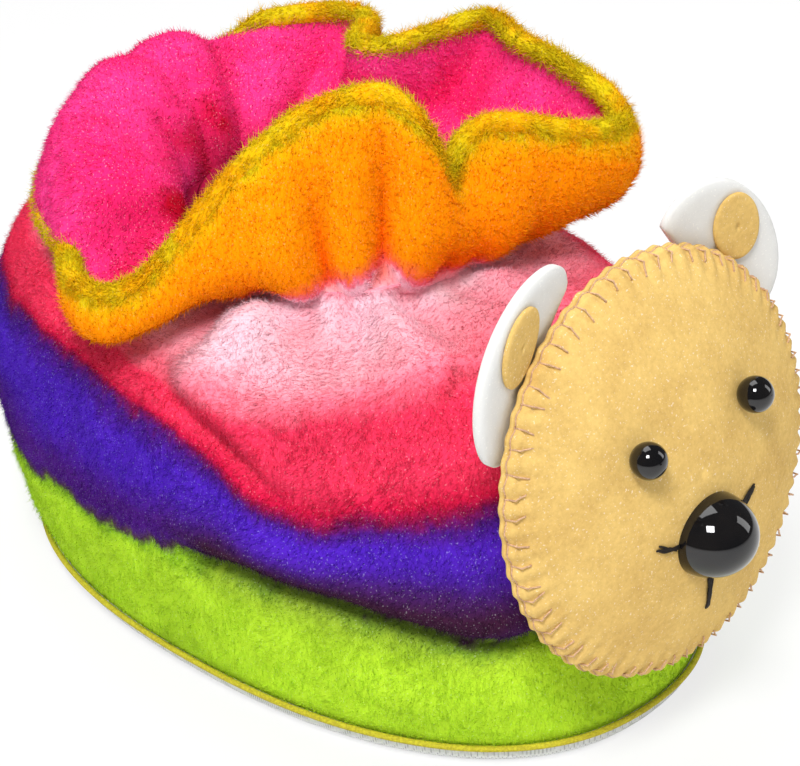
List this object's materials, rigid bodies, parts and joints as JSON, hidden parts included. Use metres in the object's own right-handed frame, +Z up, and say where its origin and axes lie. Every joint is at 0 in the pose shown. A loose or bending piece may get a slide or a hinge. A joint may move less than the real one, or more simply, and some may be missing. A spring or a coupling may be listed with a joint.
{
  "type": "hand puppet",
  "caption": "Plush hand puppet on a flat oval sole, with a gathered frill mouth for the hand and a round felt animal face with ears.",
  "frame": {"origin": "middle of the flat sole, on the ground", "axes": "+Z up, the face looks along -Y, +X to the right of someone facing the face"},
  "size_m": [0.1288, 0.2167, 0.136],
  "materials": {
    "plush_body": "long-napped plush in soft-edged stripes: lime, purple, coral red, light pink",
    "plush_orange": "long-napped plush, orange",
    "plush_magenta": "plush, magenta",
    "plush_rim": "plush, yellow-green",
    "plush_lining": "plush, magenta",
    "sole_cloth": "plain woven, white",
    "insole_board": "pressed fibre board",
    "seam_thread": "matte thread",
    "elastic": "flat braided elastic",
    "wadding": "polyester fibre",
    "tan_felt": "craft felt",
    "white_felt": "craft felt",
    "edge_thread": "matte embroidery thread",
    "black_thread": "embroidery thread",
    "black_gloss": "moulded, glossy",
    "washer_plastic": "moulded"
  },
  "bodies": {
    "body": {"body_skin": "plush_body", "body_padding": "wadding", "hand_lining": "plush_lining", "neck_elastic": "elastic", "sole_cloth": "sole_cloth", "insole": "insole_board", "sole_seam": "seam_thread", "frill_outer": "plush_orange", "frill_lining": "plush_magenta", "frill_hem": "plush_rim"},
    "ring": {"swivel_ring": "plush_lining"},
    "head": {"face_front": "tan_felt", "face_back": "tan_felt", "face_filling": "wadding", "blanket_stitch": "edge_thread", "eye_left": "black_gloss", "eye_right": "black_gloss", "eye_washer_left": "washer_plastic", "eye_washer_right": "washer_plastic", "nose": "black_gloss", "nose_washer": "washer_plastic", "mouth_stitch_left": "black_thread", "mouth_stitch_right": "black_thread", "mouth_stitch_lower": "black_thread", "finger_sleeve": "plush_lining"},
    "ear_l": {"ear_left": "white_felt", "ear_patch_left": "tan_felt", "ear_stitch_left": "edge_thread"},
    "ear_r": {"ear_right": "white_felt", "ear_patch_right": "tan_felt", "ear_stitch_right": "edge_thread"}
  },
  "joints": [
    {"name": "head_turn", "type": "hinge", "parent": "body", "child": "ring", "pos_m": [0, -0.079, 0.066], "axis": [0, 0, 1], "range_deg": [-12, 12]},
    {"name": "head_nod", "type": "hinge", "parent": "ring", "child": "head", "pos_m": [0, -0.079, 0.066], "axis": [1, 0, 0], "range_deg": [-12, 3]},
    {"name": "ear_left_flap", "type": "hinge", "parent": "head", "child": "ear_l", "pos_m": [-0.02904, -0.08494, 0.09969], "axis": [0.7513, 0.1078, 0.6511], "range_deg": [-8, 12], "stiffness_Nm_per_rad": 0.02},
    {"name": "ear_right_flap", "type": "hinge", "parent": "head", "child": "ear_r", "pos_m": [0.02904, -0.08494, 0.09969], "axis": [0.7513, -0.1078, -0.6511], "range_deg": [-8, 12], "stiffness_Nm_per_rad": 0.02}
  ]
}
